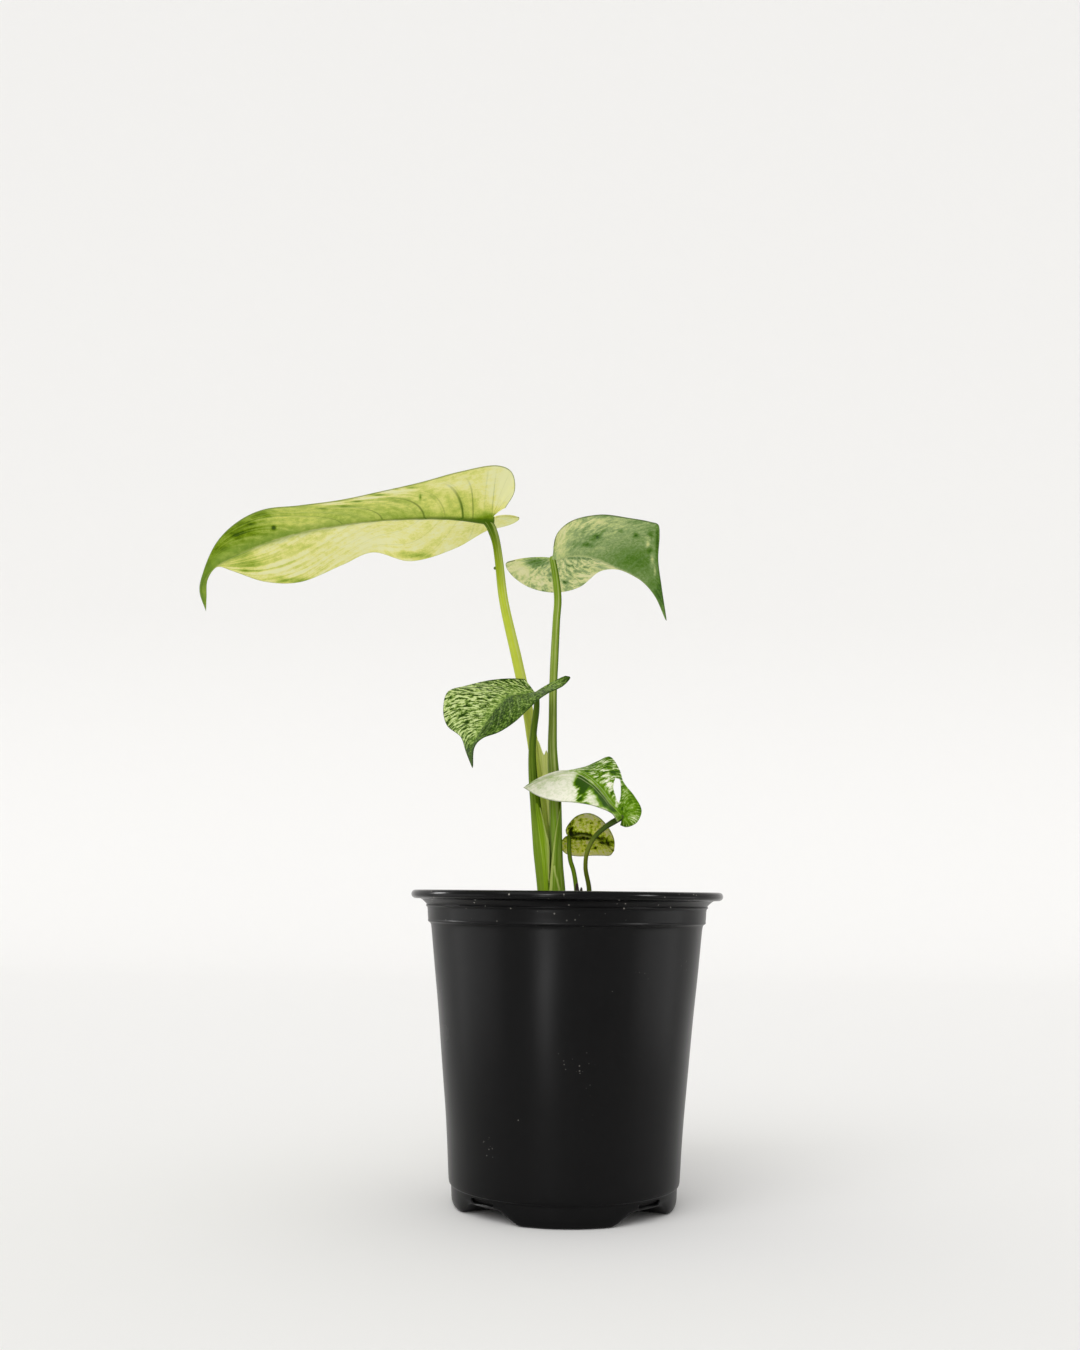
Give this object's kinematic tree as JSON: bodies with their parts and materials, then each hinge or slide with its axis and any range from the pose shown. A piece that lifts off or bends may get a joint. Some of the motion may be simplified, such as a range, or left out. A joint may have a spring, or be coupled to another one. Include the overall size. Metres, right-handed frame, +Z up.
{
  "type": "potted monstera",
  "caption": "Young variegated monstera with cream-marbled heart-shaped leaves on long stalks, growing in a round black plastic nursery pot.",
  "frame": {"origin": "middle of the bounding box at floor level; the pot's axis stands 57 mm to the right of it", "axes": "+Z up; +X to the right and +Y away from the viewer of the front, which the largest leaf crosses to the left"},
  "size_m": [0.2786, 0.1646, 0.38],
  "materials": {
    "pot_plastic": "satin",
    "potting_mix": "matte",
    "root": "matte",
    "bark": "matte",
    "stalk_lime": "satin",
    "stalk_green": "satin",
    "stalk_dark": "satin",
    "leaf_cream": "satin",
    "leaf_green": "satin",
    "leaf_white": "satin",
    "leaf_olive": "satin"
  },
  "bodies": {
    "root": {"pot": "pot_plastic", "soil": "potting_mix", "crown": "root", "bark_chip": "bark", "petiole_1": "stalk_lime", "petiole_2": "stalk_green", "petiole_3": "stalk_green", "petiole_4": "stalk_dark", "petiole_5": "stalk_dark", "blade_1": "leaf_cream", "blade_2": "leaf_green", "blade_3": "leaf_green", "blade_4": "leaf_white", "blade_5": "leaf_olive"}
  },
  "joints": []
}
